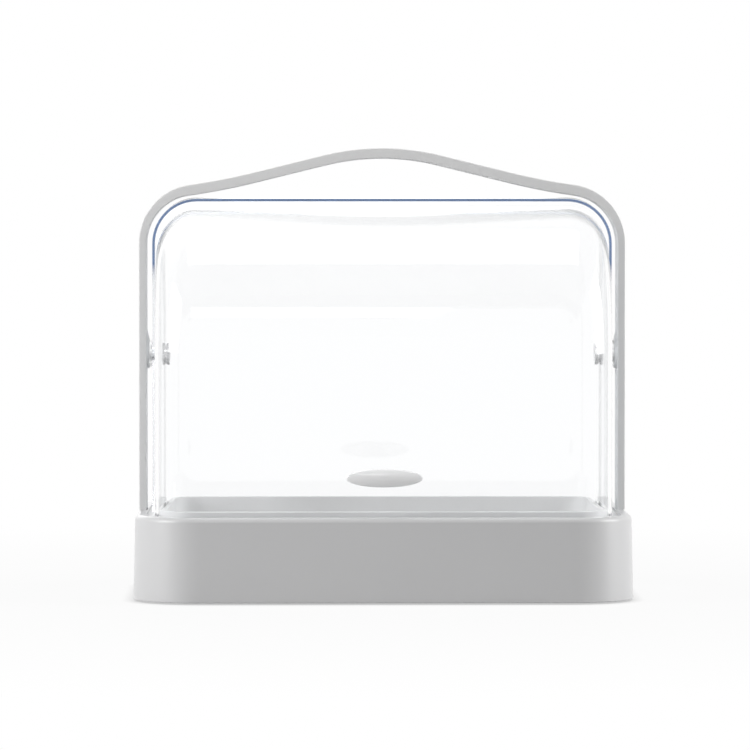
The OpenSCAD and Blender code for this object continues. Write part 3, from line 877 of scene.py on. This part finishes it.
def make_grip():
    """Oval grip: a neck on the cover and a wider head with a crowned face."""
    centre = (0, 0, GRIP_Z)
    half = Vector((grip_high.x, 0, (grip_high.z - grip_low.z) / 2))
    back = front_low.y - GRIP_NECK
    edge_y = grip_low.y + GRIP_CROWN
    piece = rod("oval_grip", half.z, (0, edge_y, GRIP_Z), "y", back - edge_y, 72)
    edit(piece, "VERT")
    bpy.ops.mesh.select_all(action="SELECT")
    stretch(half.x / half.z, 1, 1, centre)
    bpy.ops.mesh.select_mode(type="FACE")
    pick_face(piece, 1, edge_y, -1)
    ring = 1
    for smaller in (0.8, 0.68, 0.56, 0.42, 0.28, 0.14):
        pull((0, GRIP_CROWN * (smaller ** 2 - ring ** 2), 0))
        stretch(smaller / ring, 1, smaller / ring, centre)
        ring = smaller
    pick_face(piece, 1, back, 1)
    pull((0, 0, 0))
    stretch(NECK_HALF.x / half.x, 1, NECK_HALF.z / half.z, centre)
    pull((0, GRIP_NECK, 0))
    stretch(NECK_FOOT.x / NECK_HALF.x, 1, NECK_FOOT.z / NECK_HALF.z, centre)
    leave()
    round_sharp(piece, 0.9 * MM, 5, 40,
                test=lambda e: middle(e).y < back - TINY or middle(e).y > grip_high.y)
    for at in GRIP_SCREWS:
        cut(piece, screw_cutter(at, "y", GRIP_SCREW_L))
    smooth(piece)
    return piece


place(make_grip(), "visor", "grip_white", GLOSS_WHITE, "cover_grip")
place(joined([copied(GRIP_SCREW, "grip_screw_copy", at, turn=(math.pi / 2, 0, 0)) for at in GRIP_SCREWS],
             "grip_screw_set"), "visor", "screw_steel", PLATED, "grip_screws")


# ---- Pivots ----

def make_pin():
    """Shoulder pin: flat head, smooth shoulder and an end with rings for its thread in the arch."""
    head_face = pin_low.x + PIN_HEAD
    piece = rod("pin", 6 * MM, (pin_low.x, 0, pivot.z), "x", PIN_HEAD)
    edit(piece, "FACE")
    pick_face(piece, 0, pin_low.x, -1)
    bpy.ops.mesh.inset(thickness=3.2 * MM)
    pull((0.8 * MM, 0, 0))
    pick_face(piece, 0, head_face, 1)
    bpy.ops.mesh.inset(thickness=2 * MM)
    pull((BOSS_FACE - head_face, 0, 0))
    bpy.ops.mesh.inset(thickness=1.5 * MM)
    for _ in range(4):
        for wider in (0.84, 1 / 0.84):
            pull((0.4 * MM, 0, 0))
            stretch(1, wider, wider, (0, 0, pivot.z))
            pull((0.1 * MM, 0, 0))
    pull((pin_high.x - BOSS_FACE - 4 * MM, 0, 0))
    stretch(1, 0.8, 0.8, (0, 0, pivot.z))
    leave()
    round_sharp(piece, 0.15 * MM, 2, 70, test=lambda e: middle(e).x < head_face + TINY)
    smooth(piece)
    return piece


def make_cap():
    """Knob cap: a cup over the pin's head with a fluted rim and a shallow dish."""
    cap_r = cap_high.y
    piece = rod("cap", cap_r, (cap_low.x, 0, pivot.z), "x", cap_high.x - cap_low.x, 72)
    edit(piece, "FACE")
    pick_face(piece, 0, cap_high.x, 1)
    bpy.ops.mesh.inset(thickness=0.9 * MM)
    pull((pin_low.x - cap_high.x, 0, 0))
    pick_face(piece, 0, cap_low.x, -1)
    bpy.ops.mesh.inset(thickness=2 * MM)
    bpy.ops.mesh.inset(thickness=0.6 * MM)
    pull((0.35 * MM, 0, 0))
    leave()
    flutes_r = cap_r + 0.6 * MM
    for step in range(FLUTES):
        angle = math.radians(360 * step / FLUTES)
        cut(piece, rod("flute", 0.9 * MM, (cap_low.x + 0.6 * MM, flutes_r * math.cos(angle),
                                           pivot.z + flutes_r * math.sin(angle)), "x", 3 * MM, 20))
    round_sharp(piece, 0.3 * MM, 3, 60, test=lambda e: all(v.co.x < cap_low.x + TINY for v in e.verts)
                and (middle(e) - Vector((cap_low.x, 0, pivot.z))).length > cap_r - 0.2 * MM)
    smooth(piece)
    return piece


def make_ring(ring_name, outer_r, node_name):
    """Ring on the pin, as thick as the solid that it stands for."""
    low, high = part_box(node_name)
    piece = rod(ring_name, outer_r, (low.x, 0, pivot.z), "x", high.x - low.x)
    cut_bore(piece, RING_BORE, low.x, high.x, 48)
    round_sharp(piece, 0.12 * MM, 2, 60)
    smooth(piece)
    return piece


def place_pair(piece, slot_name, material, node_start):
    """Places a piece of the right pivot and its mirror image on the left, both on the base."""
    twin = copied(piece, piece.name + "_left", flip_x=True)
    piece.name = piece.data.name = piece.name + "_right"
    place(piece, "base", slot_name, material, node_start + "_right")
    place(twin, "base", slot_name, material, node_start + "_left")


place_pair(make_pin(), "pin_steel", STEEL, "pivot_pin")
place_pair(make_cap(), "cap_white", GLOSS_WHITE, "pivot_cap")
place_pair(make_ring("washer_ring", RING_R, "arch_washer_right"), "nylon", CLEAR_NYLON, "arch_washer")
place_pair(make_ring("spacer_ring", RING_R, "cover_spacer_right"), "nylon", NYLON, "cover_spacer")
place_pair(make_ring("friction_ring", RING_R - 1.5 * MM, "friction_washer_right"), "pin_steel", STEEL,
           "friction_washer")

for spare in (PLATE_SCREW, ARCH_SCREW, GRIP_SCREW):
    bpy.data.objects.remove(spare)


# ---- Stage ----

CAMERA_AWAY = 3.2
CAMERA_TURN = math.radians(-0.9)
CAMERA_RISE = math.radians(1.815)
CAMERA_AIM = Vector((-0.0042, 0, 0.1342))
CAMERA_LENS = 249.6


def make_camera():
    data = bpy.data.cameras.new("camera")
    camera = bpy.data.objects.new("camera", data)
    bpy.context.scene.collection.objects.link(camera)
    back = Vector((math.sin(CAMERA_TURN) * math.cos(CAMERA_RISE),
                   -math.cos(CAMERA_TURN) * math.cos(CAMERA_RISE), math.sin(CAMERA_RISE)))
    camera.location = CAMERA_AIM + back * CAMERA_AWAY
    camera.rotation_euler = (-back).to_track_quat("-Z", "Y").to_euler()
    data.lens = CAMERA_LENS
    data.sensor_width = 36
    data.clip_end = 60
    bpy.context.scene.camera = camera


def fade_rim(data):
    """Fades a softbox from its middle to its rim, so that gloss shows no hard rectangle."""
    data.use_nodes = True
    tree = data.node_tree
    spot = node(tree, "NewGeometry")
    off = node(tree, "VectorMath", {"operation": "SUBTRACT"}, i0=spot.outputs["Parametric"],
               i1=(0.5, 0.5, 0))
    away = node(tree, "VectorMath", {"operation": "LENGTH"}, i0=off.outputs[0])
    share = node(tree, "MapRange", {"interpolation_type": "SMOOTHSTEP"}, Value=away.outputs["Value"],
                 From_Min=0.0, From_Max=0.5, To_Min=2.4, To_Max=0.0)
    tree.links.new(share.outputs["Result"], tree.nodes["Emission"].inputs["Strength"])


def soft_light(light_name, place_at, aim, width, height, power, faded=False):
    data = bpy.data.lights.new(light_name, "AREA")
    data.shape = "RECTANGLE"
    data.size = width
    data.size_y = height
    data.energy = power
    if faded:
        fade_rim(data)
    light = bpy.data.objects.new(light_name, data)
    bpy.context.scene.collection.objects.link(light)
    light.location = place_at
    light.rotation_euler = (Vector(aim) - Vector(place_at)).to_track_quat("-Z", "Y").to_euler()


def seen_directly(tree):
    """1 for the camera and for what gloss and glass show, and 0 for light that falls on things."""
    rays = node(tree, "LightPath")
    clear_view = node(tree, "Math", {"operation": "MAXIMUM"}, i0=rays.outputs["Is Camera Ray"],
                      i1=rays.outputs["Is Transmission Ray"])
    either = node(tree, "Math", {"operation": "MAXIMUM"}, i0=clear_view.outputs[0],
                  i1=rays.outputs["Is Glossy Ray"])
    first = node(tree, "Math", {"operation": "LESS_THAN"}, i0=rays.outputs["Diffuse Depth"], i1=0.5)
    direct = node(tree, "Math", {"operation": "MULTIPLY"}, i0=either.outputs[0], i1=first.outputs[0])
    return direct.outputs[0]


# Reach of the floor's painted contact shadow.
PAINTED_CONTACT_SHADOW = 8 * MM
SHADOW_NEAR, SHADOW_FAR = 0.2, 0.7


def make_floor():
    """Pale floor: white to the camera, with the object's shadow on it and a painted contact shadow, a
    darker line where it stands.
    """
    leave()
    bpy.ops.mesh.primitive_plane_add(size=60, location=(0, 0, 0))
    floor = bpy.context.object
    floor.name = "floor"
    material = bpy.data.materials.new("floor_pale")
    material.use_nodes = True
    tree = material.node_tree
    tree.nodes.remove(tree.nodes["Principled BSDF"])
    lit = node(tree, "BsdfDiffuse", Color=(0.6, 0.6, 0.6, 1))
    # Painted contact shadow: the white that the camera sees is dimmed where the floor lies close under the
    # object.
    near = node(tree, "AmbientOcclusion", {"samples": 4}, Distance=PAINTED_CONTACT_SHADOW)
    painted_contact_shade = node(tree, "MapRange", Value=near.outputs["AO"], To_Min=0.6, To_Max=1.0)
    glow = node(tree, "Emission", Color=(1, 1, 1, 1), Strength=painted_contact_shade.outputs["Result"])
    where = node(tree, "TexCoord")
    away = node(tree, "VectorMath", {"operation": "LENGTH"}, i0=where.outputs["Object"])
    plain = node(tree, "MapRange", Value=away.outputs["Value"], From_Min=SHADOW_NEAR, From_Max=SHADOW_FAR,
                 To_Min=0.93, To_Max=1.0)
    share = node(tree, "Math", {"operation": "MULTIPLY"}, i0=seen_directly(tree),
                 i1=plain.outputs["Result"])
    mixed = node(tree, "MixShader", i0=share.outputs[0], i1=lit.outputs[0], i2=glow.outputs[0])
    tree.links.new(mixed.outputs[0], tree.nodes["Material Output"].inputs["Surface"])
    floor.data.materials.append(material)


def make_world(level):
    """White to the camera and in gloss and glass, and a dimmer even light on everything else."""
    world = bpy.data.worlds.new("studio")
    bpy.context.scene.world = world
    world.use_nodes = True
    tree = world.node_tree
    tree.nodes.clear()
    strength = node(tree, "MapRange", Value=seen_directly(tree), To_Min=level, To_Max=1.0)
    light = node(tree, "Background", Color=(1, 1, 1, 1), Strength=strength.outputs["Result"])
    out = node(tree, "OutputWorld")
    tree.links.new(light.outputs[0], out.inputs["Surface"])


make_camera()
make_floor()
make_world(level=0.05)
soft_light("left_softbox", (-1.7, -0.7, 0.8), (0, 0, 0.12), 1.1, 1.3, 31)
soft_light("right_softbox", (2.2, -0.22, 0.9), (0, 0, 0.12), 1.2, 1.6, 47)
soft_light("front_softbox", (-0.2, -1.9, 1.4), (0, 0, 0.06), 0.6, 0.3, 2.5)
soft_light("rear_softbox", (-0.5, 2.3, 1.3), (0, 0, 0.12), 3.2, 2.6, 24, faded=True)
soft_light("top_softbox", (0, 0.2, 2.4), (0, 0, 0.1), 1.6, 1.6, 14)
bpy.context.scene.view_settings.view_transform = "Standard"
